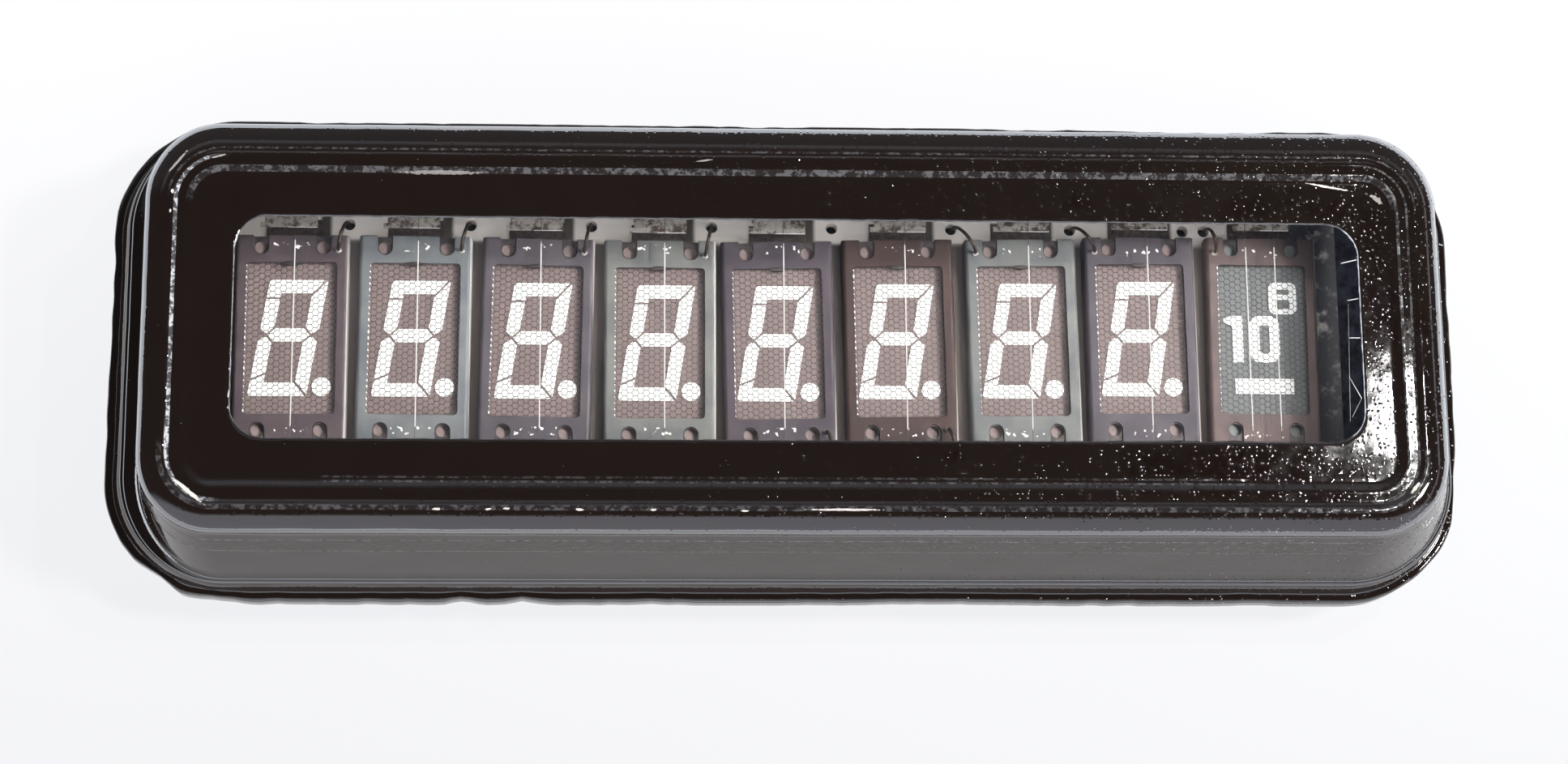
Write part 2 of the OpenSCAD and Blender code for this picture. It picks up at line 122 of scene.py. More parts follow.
def ripple(points, wavelength, seed, waves=7):
    """Smooth noise from about -1 to 1: a few sine waves in seeded directions."""
    rng = np.random.default_rng(seed)
    total = np.zeros(len(points))
    for _ in range(waves):
        direction = rng.normal(size=points.shape[1])
        direction /= np.linalg.norm(direction)
        length = wavelength * rng.uniform(0.6, 1.6)
        total += np.sin(points @ direction * 2 * math.pi / length + rng.uniform(0, 2 * math.pi))
    return total / math.sqrt(waves)


# ---- The swept glass ----

CORNER_STEPS = 30
SIDE_STEPS = {"x": 130, "y": 36}


def loop_frame(half_x, half_y):
    """Centre and outward direction at each step round a rectangle with round corners."""
    corners = [(half_x, -half_y), (half_x, half_y), (-half_x, half_y), (-half_x, -half_y)]
    centres, directions = [], []
    for turn, corner in enumerate(corners):
        start = math.radians(90 * (turn - 1))
        for i in range(CORNER_STEPS + 1):
            angle = start + math.pi / 2 * i / CORNER_STEPS
            centres.append(corner)
            directions.append((math.cos(angle), math.sin(angle)))
        following = np.array(corners[(turn + 1) % 4])
        steps = SIDE_STEPS["y" if turn % 2 == 0 else "x"]
        for i in range(1, steps):
            centres.append(tuple(np.array(corner) + (following - corner) * i / steps))
            directions.append(directions[-1])
    return np.array(centres), np.array(directions)


GLASS_CENTRES, OUTWARDS = loop_frame(AXIS_X, AXIS_Y)


# How far the pressed cover's sides are pushed over at some heights: front and back to the front, left to the
# right, where the flange is wider and the wall steeper
LEAN_HEIGHTS = (7.3, 8.95, 9.15, 16.5, 18.0)
FRONT_LEAN = (0.0, 0.0, 0.0, 0.3, 0.45)
BACK_LEAN = (0.0, 0.0, 0.0, -0.02, 0.42)
LEFT_LEAN = (0.0, 0.4, 1.35, 0.3, 0.25)


def glass_ring(r, z):
    """One ring of the swept glass, at a distance from the corner axes and a height."""
    flat = GLASS_CENTRES + OUTWARDS * np.reshape(r, (-1, 1))
    behind = (OUTWARDS[:, 1] + 1) / 2
    front, back, left = (np.interp(z, LEAN_HEIGHTS, lean) for lean in (FRONT_LEAN, BACK_LEAN, LEFT_LEAN))
    flat[:, 1] -= front + (back - front) * behind
    flat[:, 0] += left * np.clip(-OUTWARDS[:, 0], 0, 1)
    return np.column_stack([flat, np.broadcast_to(z, len(flat))])


def softened(points, radii, steps=5):
    """A line through points whose inner corners are rounded by curves of about the given radii."""
    points = [np.array(p, float) for p in points]
    line = [points[0]]
    for before, corner, after, r in zip(points, points[1:], points[2:], radii):
        start = corner + (before - corner) / np.linalg.norm(before - corner) * r
        end = corner + (after - corner) / np.linalg.norm(after - corner) * r
        for i in range(steps + 1):
            s = i / steps
            line.append((1 - s) ** 2 * start + 2 * s * (1 - s) * corner + s**2 * end)
    return line + [points[-1]]


def wall_line(z, depth):
    """Distance of the leaning wall from the corner axis, at a depth below its outer face."""
    return WALL_R - depth / math.cos(WALL_LEAN) - (z - FLANGE_Z) * math.tan(WALL_LEAN)


def tangent_r(z, depth, r):
    """Where the centre of a rounding between the wall and the panel lies."""
    return wall_line(z + r * math.sin(WALL_LEAN), depth) - r * math.cos(WALL_LEAN)


RIM_R = 3.66
# The crown ends in a lip, with a hollow below it and a bend in the wall further down
LIP_START = math.radians(33)
HOLLOW_IN, HOLLOW_DOWN = -0.02, 0.75
BEND_Z = 13.6


def arc(centre, r, start, end, steps):
    angles = [start + (end - start) * i / steps for i in range(steps + 1)]
    return [np.array((centre[0] + r * math.cos(a), centre[1] + r * math.sin(a))) for a in angles]


# The slope down to the flat panel has two steps: where each starts and ends, and its share of the depth
DISH_STEPS = [(3.62, 3.05, 0.5), (2.45, FLAT_R, 0.5)]


def dish_z(r):
    """Height of the slope inside the rim, at a distance from the corner axis."""
    drop = 0.0
    for start, end, share in DISH_STEPS:
        along = min(max((start - r) / (start - end), 0.0), 1.0)
        drop += share * along * along * (3 - 2 * along)
    return RIM_Z - DISH_D * drop


def crown_and_dish(grow):
    """The top edge and the slope down to the flat panel."""
    crown = arc((RIM_R, CROWN_Z), CROWN_R + grow, LIP_START, math.pi / 2, 20)
    count = 26
    slope = []
    for i in range(1, count):
        along = RIM_R + (FLAT_R - RIM_R) * i / (count - 1)
        slope.append(np.array((along, dish_z(along) + grow)))
    return crown + slope


def divided(points, longest):
    """The same line with its long stretches divided."""
    line = [points[0]]
    for a, b in zip(points, points[1:]):
        pieces = max(1, math.ceil(np.linalg.norm(b - a) / longest))
        line += [a + (b - a) * i / pieces for i in range(1, pieces + 1)]
    return line


def outer_section(grow):
    """The outside of base, flange, wall and crown, from the base's underside to the flat panel."""
    low_wall = np.array((wall_line(FLANGE_Z + grow, -grow), FLANGE_Z + grow))
    bend = np.array((wall_line(BEND_Z, -grow), BEND_Z))
    crown = crown_and_dish(grow)
    hollow = crown[0] + np.array((HOLLOW_IN, -HOLLOW_DOWN))
    edges = [
        (BASE_R + grow - 0.3, BASE_Z), (BASE_R + grow, BASE_Z + 0.05), (BASE_R + grow, LEDGE_Z + grow),
        (FLANGE_R + grow, LEDGE_Z + grow), (FLANGE_R + grow - FLANGE_SLANT, FLANGE_Z + grow), low_wall, bend, hollow,
        crown[0]]
    return divided(softened(edges, [0.25, 0.3, 0.12, 0.12, 0.2, 0.12, 0.3]), 1.2) + crown[1:]


# How far the molten edge of the base plate is drawn in: place, reach and depth
EDGE_DENTS = [
    ((-43.8, -15.6), 1.6, 0.45), ((-39.5, -17.2), 1.2, 0.25), ((-22.5, -17.2), 1.0, 0.3),
    ((-18.5, -17.2), 0.8, 0.25), ((46.9, -9.0), 2.2, 0.4), ((44.0, -16.0), 2.5, 0.2),
    ((12.0, -17.2), 6.0, 0.1), ((30.0, 17.2), 6.0, 0.2), ((-47.2, 2.0), 5.0, 0.15)]
DEEPEST_MELT = 0.55


def melted(ring):
    """The ring with its outline drawn in where the base plate's edge melted."""
    x, y = ring[:, 0], ring[:, 1]
    amount = 0.02 + 0.05 * ripple(ring[:, :2], 7, 3) + 0.03 * ripple(ring[:, :2], 1.7, 4)
    for (px, py), reach, depth in EDGE_DENTS:
        amount += depth * np.exp(-((x - px) ** 2 + (y - py) ** 2) / reach**2)
    # It fades out above the ledge
    fade = np.clip((LEDGE_Z + 0.4 - ring[:, 2]) / 0.5, 0, 1)
    ring[:, :2] -= OUTWARDS * (np.clip(amount, 0, DEEPEST_MELT) * fade)[:, None]
    return ring


def window_ring(grow, z, waver=0.0):
    """One ring round the clear window."""
    size = np.array(WINDOW["size"]) / 2 - WINDOW["r"]
    centres, directions = loop_frame(*size)
    ring = centres + np.array(WINDOW["middle"]) + directions * (WINDOW["r"] + grow)
    if waver:
        ring += directions * (waver * ripple(ring, 1.3, 9) + waver * ripple(ring, 0.5, 10))[:, None]
    return np.column_stack([ring, np.full(len(ring), z)])


def between(first, last, steps):
    """Rings between two rings, without either of them."""
    return [first + (last - first) * i / steps for i in range(1, steps)]


def make_coat(material):
    """The black coat: a thin closed skin from the base plate's edge to the window."""
    outer = []
    for r, z in outer_section(COAT_T):
        ring = glass_ring(r, z)
        wave = 0.5 + 0.25 * ripple(ring, 4.0, 21) + 0.25 * ripple(ring, 1.5, 22)
        ring[:, :2] -= OUTWARDS * (0.02 * np.clip(wave, 0, 1) * (z > FLANGE_Z))[:, None]
        outer.append(melted(ring) if z < LEDGE_Z + 0.5 else ring)
    flat_edge = outer[-1]
    window_top = window_ring(0.0, PANEL_Z + COAT_T, 0.02)
    window_side = window_ring(-0.03, PANEL_Z + 0.4 * COAT_T, 0.02)
    inner = [glass_ring(r, z) for r, z in outer_section(0.005)]
    inner = [melted(ring) if ring[0, 2] < LEDGE_Z + 0.5 else ring for ring in inner]
    window_low = window_ring(-0.01, PANEL_Z + 0.005, 0.02)
    rings = outer + between(flat_edge, window_top, 12) + [window_top, window_side, window_low]
    rings += between(window_low, inner[-1], 8) + inner[::-1]
    points, faces = skin(rings, True)
    piece = mesh_piece("painted_coat", points, faces, material)
    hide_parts("black_coat")
    return piece


def make_cover(material):
    """The moulded glass cover, with its cavity."""
    start = next(i for i, p in enumerate(outer_section(0)) if p[1] > SEAL_Z + 0.05 and p[0] < FLANGE_R + 0.001)
    outer = [(FLANGE_R - 0.02, SEAL_Z)] + [tuple(p) for p in outer_section(0)[start:]]
    outer += [(FLAT_R * 0.6, PANEL_Z), (FLAT_R * 0.3, PANEL_Z)]
    ceiling = arc((tangent_r(CEILING_Z - INNER_R, WALL_T, INNER_R), CEILING_Z - INNER_R), INNER_R,
                  WALL_LEAN, math.pi / 2, 8)
    cavity = divided([np.array((wall_line(SEAL_Z, WALL_T), SEAL_Z))] + ceiling, 1.5)
    cavity += [np.array((ceiling[-1][0] - 0.3, CEILING_Z)), np.array((ceiling[-1][0] - 0.6, CEILING_Z))]
    rings = [glass_ring(r, z) for r, z in [tuple(p) for p in cavity[::-1]] + outer]
    points, faces = skin(rings, False)
    around = len(rings[0])
    faces.append(tuple(range(around))[::-1])
    faces.append(tuple(range(len(points) - around, len(points))))
    piece = mesh_piece("window_cover", points, faces, material)
    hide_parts("glass_cover")
    return piece


def make_base(material):
    """The base plate, with its melted edge."""
    section = [p for p in outer_section(0) if p[1] <= LEDGE_Z + 0.001 and p[0] > FLANGE_R - 0.5]
    rings = [glass_ring(1.0, BASE_Z), glass_ring(5.0, BASE_Z)]
    rings += [melted(glass_ring(r, min(z, LEDGE_Z))) for r, z in section]
    rings += [glass_ring(5.0, LEDGE_Z), glass_ring(1.0, LEDGE_Z)]
    points, faces = skin(rings, False)
    around = len(rings[0])
    faces.append(tuple(range(around))[::-1])
    faces.append(tuple(range(len(points) - around, len(points))))
    piece = mesh_piece("base_plate", points, faces, material)
    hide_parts("base_glass")
    return piece


# ---- Etched meshes ----

MESH_T = 0.05
HEX_SIDE = 0.247
WIRE = 0.042
HEX_COLUMNS = 18
HEX_ROWS = 27
SHEET = (7.29, 14.44)
DISC_PLACE = (2.125, 6.45)
DISC_R = 0.437
SAME_POINT = 0.00081


def turn_of(node):
    """How far a rectangular CAD sheet is turned about Z, from its two left corners."""
    points = np.array([v.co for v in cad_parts[node].data.vertices]) / MM
    top = points[np.argmax(points[:, 1] - points[:, 0])]
    bottom = points[np.argmin(points[:, 1] + points[:, 0])]
    return math.atan2(bottom[0] - top[0], top[1] - bottom[1])


def hexagon(x, y, r):
    return [(x + r * math.cos(math.radians(60 * i)), y + r * math.sin(math.radians(60 * i))) for i in range(6)]


def hex_centres():
    for c in range(HEX_COLUMNS):
        for r in range(HEX_ROWS):
            shift = (c % 2) / 2 - 0.25
            yield ((c - (HEX_COLUMNS - 1) / 2) * 1.5 * HEX_SIDE,
                   (r - (HEX_ROWS - 1) / 2 + shift) * math.sqrt(3) * HEX_SIDE)


def sheet_faces():
    """The flat sheet's faces: a ring of six round each hexagonal opening, and the solid border."""
    points, index, faces, uses = [], {}, [], {}

    def number(p):
        key = (round(p[0] / SAME_POINT), round(p[1] / SAME_POINT))
        if key not in index:
            index[key] = len(points)
            points.append(p)
        return index[key]

    opening = HEX_SIDE - WIRE / math.sqrt(3)
    for x, y in hex_centres():
        outer = [number(p) for p in hexagon(x, y, HEX_SIDE)]
        inner = [number(p) for p in hexagon(x, y, opening)]
        for i in range(6):
            j = (i + 1) % 6
            faces.append((outer[i], outer[j], inner[j], inner[i]))
            uses[outer[i], outer[j]] = True
    follows = {a: b for a, b in uses if (b, a) not in uses}
    start = next(iter(follows))
    edge = [start]
    while follows[edge[-1]] != start:
        edge.append(follows[edge[-1]])
    w, h = SHEET[0] / 2, SHEET[1] / 2
    loops = [[number(p) for p in [(-w, -h), (w, -h), (w, h), (-w, h)]], edge]
    for sx in (-1, 1):
        for sy in (-1, 1):
            x, y = sx * DISC_PLACE[0], sy * DISC_PLACE[1]
            loops.append([number((x + DISC_R * math.cos(a), y + DISC_R * math.sin(a)))
                          for a in np.linspace(0, 2 * math.pi, 24, endpoint=False)])
    chain = [i for loop in loops for i in loop]
    polygons = [[Vector((*points[i], 0)) for i in loop] for loop in loops]
    for a, b, c in tessellate_polygon(polygons):
        a, b, c = chain[a], chain[b], chain[c]
        pa, pb, pc = (np.array(points[i]) for i in (a, b, c))
        area = (pb[0] - pa[0]) * (pc[1] - pa[1]) - (pc[0] - pa[0]) * (pb[1] - pa[1])
        faces.append((a, b, c) if area > 0 else (a, c, b))
    return points, faces


def make_meshes(material):
    points, faces = sheet_faces()
    flat = bmesh.new()
    corners = [flat.verts.new((x, y, 0)) for x, y in points]
    for face in faces:
        flat.faces.new([corners[i] for i in face])
    grown = bmesh.ops.extrude_face_region(flat, geom=list(flat.faces))
    raised = [v for v in grown["geom"] if isinstance(v, bmesh.types.BMVert)]
    bmesh.ops.translate(flat, verts=raised, vec=(0, 0, MESH_T))
    bmesh.ops.recalc_face_normals(flat, faces=list(flat.faces))
    flat.verts.ensure_lookup_table()
    solid = np.array([v.co for v in flat.verts])
    solid_faces = [[v.index for v in face.verts] for face in flat.faces]
    flat.free()
    for n in DIGITS:
        node = f"grid_mesh_{n}"
        low, high = box(node)
        turn = turn_of(node)
        spin = np.array([[math.cos(turn), -math.sin(turn)], [math.sin(turn), math.cos(turn)]])
        placed = solid.copy()
        placed[:, :2] = solid[:, :2] @ spin.T + (low + high)[:2] / 2
        placed[:, 2] += low[2]
        piece = mesh_piece(f"etched_mesh_{n}", placed, solid_faces, material, smooth=False)
        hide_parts(node)


# ---- Materials ----

def node(tree, kind, inputs=None, **settings):
    """Adds a shader node; an input is a value, or a socket to link from."""
    made = tree.nodes.new("ShaderNode" + kind)
    for key, value in settings.items():
        setattr(made, key, value)
    for key, value in (inputs or {}).items():
        if isinstance(value, bpy.types.NodeSocket):
            tree.links.new(value, made.inputs[key])
        else:
            made.inputs[key].default_value = value
    return made


def start_material(name, **values):
    """A material with one Principled shader; the values are set on its own sockets."""
    material = bpy.data.materials.new(name)
    material.use_nodes = True
    tree = material.node_tree
    shader = tree.nodes["Principled BSDF"]
    for key, value in values.items():
        shader.inputs[key.replace("_", " ")].default_value = value
    return material, tree, shader


def millimetres(tree, stretch=(1, 1, 1)):
    """The piece's own coordinates in millimetres."""
    place = node(tree, "TexCoord").outputs["Object"]
    scale = tuple(s / MM for s in stretch)
    return node(tree, "VectorMath", {0: place, 1: scale}, operation="MULTIPLY").outputs[0]


def noise(tree, where, scale, detail=3.0, roughness=0.5, distortion=0.0):
    return node(tree, "TexNoise", {"Vector": where, "Scale": scale, "Detail": detail,
                                   "Roughness": roughness, "Distortion": distortion}).outputs["Fac"]


def maths(tree, operation, a, b=0.0, c=0.0, clamp=False):
    return node(tree, "Math", {0: a, 1: b, 2: c}, operation=operation, use_clamp=clamp).outputs[0]


def steps(tree, value, low, high, from_value=0.0, to_value=1.0):
    """A smooth step from low to high."""
    return node(tree, "MapRange", {"Value": value, "From Min": low, "From Max": high,
                                   "To Min": from_value, "To Max": to_value},
                interpolation_type="SMOOTHSTEP").outputs[0]


def blend(tree, share, a, b):
    """A colour between two colours."""
    mixer = node(tree, "Mix", data_type="RGBA")
    for socket, value in (("Factor_Float", share), ("A_Color", a), ("B_Color", b)):
        place = next(s for s in mixer.inputs if s.identifier == socket)
        if isinstance(value, bpy.types.NodeSocket):
            tree.links.new(value, place)
        elif socket == "Factor_Float":
            place.default_value = value
        else:
            place.default_value = (*value, 1)
    return next(s for s in mixer.outputs if s.identifier == "Result_Color")


def bump(tree, shader, height, distance, strength=1.0, normal=None):
    """Raises the surface by height times a distance in millimetres."""
    inputs = {"Height": height, "Distance": distance * MM, "Strength": strength}
    if normal is not None:
        inputs["Normal"] = normal
    out = node(tree, "Bump", inputs).outputs[0]
    tree.links.new(out, shader.inputs["Normal"])
    return out


def split(tree, vector):
    return node(tree, "SeparateXYZ", {0: vector}).outputs


def rim_distance(tree, x, y):
    """Distance outwards from the corner axes at the top of the leaning cover."""
    right = maths(tree, "SUBTRACT", x, AXIS_X)
    left = maths(tree, "SUBTRACT", LEFT_LEAN[-1] - AXIS_X, x)
    middle = maths(tree, "ADD", y, FRONT_LEAN[-1])
    over_x = maths(tree, "MAXIMUM", maths(tree, "MAXIMUM", left, right), 0.0)
    over_y = maths(tree, "MAXIMUM", maths(tree, "SUBTRACT", maths(tree, "ABSOLUTE", middle), AXIS_Y), 0.0)
    away = node(tree, "CombineXYZ", {0: over_x, 1: over_y})
    return node(tree, "VectorMath", {0: away.outputs[0]}, operation="LENGTH").outputs["Value"]


def window_distance(tree, x, y):
    """Distance outwards from the clear window's edge."""
    over = []
    for value, middle, size in zip((x, y), WINDOW["middle"], WINDOW["size"]):
        beyond = maths(tree, "ABSOLUTE", maths(tree, "SUBTRACT", value, middle))
        over.append(maths(tree, "MAXIMUM", maths(tree, "SUBTRACT", beyond, size / 2 - WINDOW["r"]), 0.0))
    away = node(tree, "CombineXYZ", {0: over[0], 1: over[1]})
    length = node(tree, "VectorMath", {0: away.outputs[0]}, operation="LENGTH").outputs["Value"]
    return maths(tree, "SUBTRACT", length, WINDOW["r"])


def band(tree, value, low, high, soft):
    """One between low and high, with soft edges."""
    return maths(tree, "MULTIPLY", steps(tree, value, low - soft, low), steps(tree, value, high, high + soft, 1, 0))


def patch(tree, place, warp, middle, half, turn=0.0):
    """A ragged oval patch on the object, seen from above: one inside, nothing outside."""
    moved = node(tree, "Mapping", {"Vector": place, "Location": (*middle, 0), "Rotation": (0, 0, turn),
                                   "Scale": (*half, 1e6)}, vector_type="TEXTURE").outputs[0]
    far = node(tree, "VectorMath", {0: moved}, operation="LENGTH").outputs["Value"]
    return steps(tree, maths(tree, "ADD", far, warp), 1.05, 0.85)


# Lines on the lacquer: scuffs at the front and back, painted glints of the lamps on the left and right, and painted
# reflections on the front's inner slope. Side, reach in distance from the corner axes, strength
WEAR_AND_GLINT_LINES = [
    ("front", 3.5, 3.8, 0.22), ("front inner", 1.5, 1.6, 0.12), ("front inner", 1.8, 1.9, 0.2),
    ("back", 2.05, 2.45, 0.3), ("back", 3.6, 3.7, 0.2), ("left", 3.05, 3.25, 1.8), ("right", 2.35, 2.5, 0.45),
    ("right", 3.05, 3.15, 0.3)]
# Chips down to the cream primer, and thinner rubbed places: place, half size, turn in degrees, strength
CHIPS = [
    ((-40.2, -11.7), (1.3, 0.14), -40, 0.9), ((41.5, -11.2), (0.5, 0.13), 50, 0.8), ((3.1, -12.85), (2.4, 0.08), 0, 0.7),
    ((-23.9, -12.9), (0.28, 0.08), 0, 0.8), ((-20.5, -12.9), (0.2, 0.09), 10, 0.8), ((-19.3, -12.85), (0.25, 0.07), 0, 0.7),
    ((-14.5, -12.9), (0.3, 0.08), -5, 0.8), ((-9.6, -12.9), (0.2, 0.08), 0, 0.7), ((-3.6, -12.95), (0.25, 0.07), 0, 0.8),
    ((-24.0, 10.3), (2.6, 0.14), 0, 0.25), ((-6.2, 11.3), (0.6, 0.06), 8, 0.4), ((36.6, 9.85), (1.4, 0.08), -10, 0.8),
    ((39.9, 9.0), (0.5, 0.18), -40, 0.3), ((-41.6, 10.9), (0.9, 0.08), 52, 0.45), ((-38.9, 11.3), (0.5, 0.06), 15, 0.45),
    ((-41.9, 8.8), (0.1, 0.16), 0, 0.8), ((-42.0, 7.4), (0.08, 0.13), 0, 0.8)]


def make_paint():
    """Glossy brown-black lacquer: bumps that catch the lamp, lines of wear and chips down to cream primer, with painted
    glints, painted reflections and a painted highlight at the window's edge.
    """
    material, tree, shader = start_material("black_lacquer", IOR=1.44)
    place = millimetres(tree)
    x, y, z = split(tree, place)
    rim = rim_distance(tree, x, y)
    front, back = steps(tree, y, -8.0, -9.5), steps(tree, y, 8.0, 9.5)
    inner = maths(tree, "MULTIPLY", front, band(tree, x, -31.0, 30.0, 1.0))
    sides = {"front": front, "front inner": inner, "back": back, "left": steps(tree, x, -38, -40),
             "right": steps(tree, x, 38, 40)}
    top = steps(tree, z, CROWN_Z, CROWN_Z + 0.3)
    streaks = noise(tree, place, 2.1, 3.0, 0.7)
    # The pale lines are partly wear and partly painted glints and reflections of the lamps
    worn_and_glint = 0.0
    for side, low, high, strength in WEAR_AND_GLINT_LINES:
        line = maths(tree, "MULTIPLY", band(tree, rim, low, high, 0.05), maths(tree, "MULTIPLY", sides[side], strength))
        worn_and_glint = maths(tree, "MAXIMUM", worn_and_glint, line)
    rubbed_and_glint = maths(tree, "MULTIPLY", worn_and_glint, steps(tree, streaks, 0.47, 0.6, 0.12, 1.0))
    ragged = maths(tree, "MULTIPLY_ADD", noise(tree, place, 3.5, 3.0, 0.7), 1.6, -0.8)
    chips = 0.0
    for middle, half, turn, strength in CHIPS:
        chip = maths(tree, "MULTIPLY", patch(tree, place, ragged, middle, half, math.radians(turn)), strength)
        chips = maths(tree, "MAXIMUM", chips, chip)
    chips = maths(tree, "MULTIPLY", chips, top)
    # Dust specks, and painted glints of the lamp: denser to the right, where its glare falls
    cells = node(tree, "TexVoronoi", {"Vector": place, "Scale": 2.5}, feature="F1")
    chance = node(tree, "SeparateColor", {0: cells.outputs["Color"]}).outputs[0]
    dust_and_glints = maths(tree, "MULTIPLY", maths(tree, "LESS_THAN", chance, steps(tree, x, 0.0, 42.0, 0.05, 0.2)),
                 maths(tree, "LESS_THAN", cells.outputs["Distance"], maths(tree, "MULTIPLY_ADD", chance, 0.5, 0.04)))
    pale = maths(tree, "MAXIMUM", maths(tree, "MULTIPLY", rubbed_and_glint, 0.45), maths(tree, "MULTIPLY", dust_and_glints, 0.35))
    # A painted highlight along the lacquer's edge at the window, brightest at the right where the lamps are
    bare = maths(tree, "ADD", steps(tree, x, 37.3, 37.8), steps(tree, x, -37.3, -37.5, 0.1, 0.4))
    edge = maths(tree, "MULTIPLY", steps(tree, window_distance(tree, x, y), 0.05, 0.02), bare)
    pale = maths(tree, "MAXIMUM", pale, maths(tree, "MULTIPLY", edge, steps(tree, streaks, 0.35, 0.55, 0.4, 1.0)))
    black = blend(tree, noise(tree, place, 0.3, 1.0), (0.0066, 0.0038, 0.0027), (0.0084, 0.005, 0.0037))
    colour = blend(tree, pale, black, (0.55, 0.55, 0.56))
    primer = blend(tree, streaks, (0.9, 0.87, 0.8), (0.45, 0.38, 0.3))
    colour = blend(tree, chips, colour, primer)
    tree.links.new(colour, shader.inputs["Base Color"])
    smudge = steps(tree, noise(tree, place, 0.7, 3.0, 0.6), 0.4, 0.75, 0.03, 0.07)
    rough = maths(tree, "MAXIMUM", pale, maths(tree, "MULTIPLY", chips, 0.7))
    tree.links.new(maths(tree, "MAXIMUM", smudge, maths(tree, "MULTIPLY", rough, 0.8)), shader.inputs["Roughness"])
    # Grains of grit under the lacquer, more and bigger to the right
    grains = node(tree, "TexVoronoi", {"Vector": place, "Scale": 3.6}, feature="F1")
    luck = node(tree, "SeparateColor", {0: grains.outputs["Color"]}).outputs[1]
    dome = steps(tree, grains.outputs["Distance"], 0.45, 0.0)
    swell = maths(tree, "MULTIPLY", maths(tree, "POWER", luck, 3.0), steps(tree, x, -45.0, 36.0, 0.2, 1.0))
    gathered = maths(tree, "MAXIMUM", band(tree, rim, 2.4, 3.0, 0.15), band(tree, rim, 3.7, 4.3, 0.15))
    swell = maths(tree, "MULTIPLY", swell, maths(tree, "MULTIPLY_ADD", gathered, 0.8, 1.0))
    swell = maths(tree, "MULTIPLY_ADD", luck, steps(tree, x, 5.0, 40.0, 0.0, 0.3), swell)
    height = maths(tree, "MULTIPLY_ADD", dome, swell, maths(tree, "MULTIPLY", noise(tree, place, 0.5, 1.0), 0.3))
    height = maths(tree, "SUBTRACT", maths(tree, "MULTIPLY_ADD", dust_and_glints, 1.5, height), chips)
    # The mould's hammered band high on the front wall
    hammered = maths(tree, "MULTIPLY", band(tree, z, BEND_Z + 0.1, BEND_Z + 1.7, 0.1), noise(tree, place, 2.2, 2.0))
    height = maths(tree, "MULTIPLY_ADD", maths(tree, "MULTIPLY", hammered, front), 0.9, height)
    bump(tree, shader, height, 0.024)
    return material


def make_clear_glass():
    """Clear glass that lets the lamps through to what it holds."""
    material, tree, shader = start_material(
        "clear_pressed_glass", Base_Color=(0.985, 0.99, 0.985, 1), Roughness=0.0, IOR=1.5, Transmission_Weight=1.0)
    place = millimetres(tree)
    bump(tree, shader, noise(tree, place, 0.15, 1.0), 0.004)
    clear = node(tree, "BsdfTransparent")
    path = node(tree, "LightPath")
    mixer = node(tree, "MixShader", {0: path.outputs["Is Shadow Ray"], 1: shader.outputs[0], 2: clear.outputs[0]})
    tree.links.new(mixer.outputs[0], tree.nodes["Material Output"].inputs["Surface"])
    return material


def make_plain(name, dark, light, scale, roughness=(0.4, 0.6), bump_height=0.01, stretch=(1, 1, 1), **values):
    """Two tones mixed by noise, with rough and smooth patches and a fine grain."""
    material, tree, shader = start_material(name, **values)
    place = millimetres(tree, stretch)
    pattern = noise(tree, place, scale, 4.0, 0.6)
    tree.links.new(blend(tree, steps(tree, pattern, 0.35, 0.65), dark, light), shader.inputs["Base Color"])
    tree.links.new(steps(tree, pattern, 0.3, 0.7, *roughness), shader.inputs["Roughness"])
    bump(tree, shader, noise(tree, place, scale * 6, 3.0), bump_height)
    return material


def make_frame_metal(name, dark, light, right):
    """Heat-tinted sheet with soft clouds, rolling lines, bright weld marks and a painted highlight along its right
    side, where the rounded edge faces the lamp.
    """
    material, tree, shader = start_material(name, Metallic=0.35)
    place = millimetres(tree)
    lines = noise(tree, millimetres(tree, (1, 0.12, 1)), 4.0, 3.0, 0.6)
    cloud = noise(tree, place, 0.35, 3.0, 0.6)
    mixed = maths(tree, "MULTIPLY_ADD", lines, 0.25, maths(tree, "MULTIPLY", cloud, 0.75))
    colour = blend(tree, steps(tree, mixed, 0.36, 0.64), dark, light)
    colour = blend(tree, maths(tree, "MULTIPLY", weld_marks(tree, place), 0.9), colour, (0.95, 0.9, 0.85))
    # Painted highlight: a pale strip along the right side, where the rounded edge faces the lamp
    right_edge_highlight = steps(tree, split(tree, place)[0], right - 0.17, right - 0.1, 0.0, 0.35)
    colour = blend(tree, right_edge_highlight, colour, (0.95, 0.9, 0.85))
    tree.links.new(colour, shader.inputs["Base Color"])
    tree.links.new(steps(tree, lines, 0.3, 0.7, 0.58, 0.68), shader.inputs["Roughness"])
    bump(tree, shader, noise(tree, place, 7.0, 2.0), 0.006)
    return material


# Where the spot welds are, from a digit's centre: half the reach in X, and how far out in Y
WELD_HALF_X = 1.5
WELD_Y = (6.2, 6.75)
FIRST_X, PITCH, CENTRE_Y = -34.4, 8.4, 0.25


def digit_place(tree, x):
    """X from the centre of the nearest digit, in millimetres."""
    return maths(tree, "SUBTRACT", maths(tree, "WRAP", x, FIRST_X + PITCH / 2, FIRST_X - PITCH / 2), FIRST_X)


def weld_marks(tree, place):
    """Small bright spots at both ends of each grid frame."""
    x, y, z = split(tree, place)
    along = maths(tree, "ABSOLUTE", digit_place(tree, x))
    across = maths(tree, "ABSOLUTE", maths(tree, "SUBTRACT", y, CENTRE_Y))
    area = maths(tree, "MULTIPLY", steps(tree, along, WELD_HALF_X, WELD_HALF_X - 0.1), band(tree, across, *WELD_Y, 0.05))
    return maths(tree, "MULTIPLY", area, steps(tree, noise(tree, place, 2.6, 1.0), 0.62, 0.68))


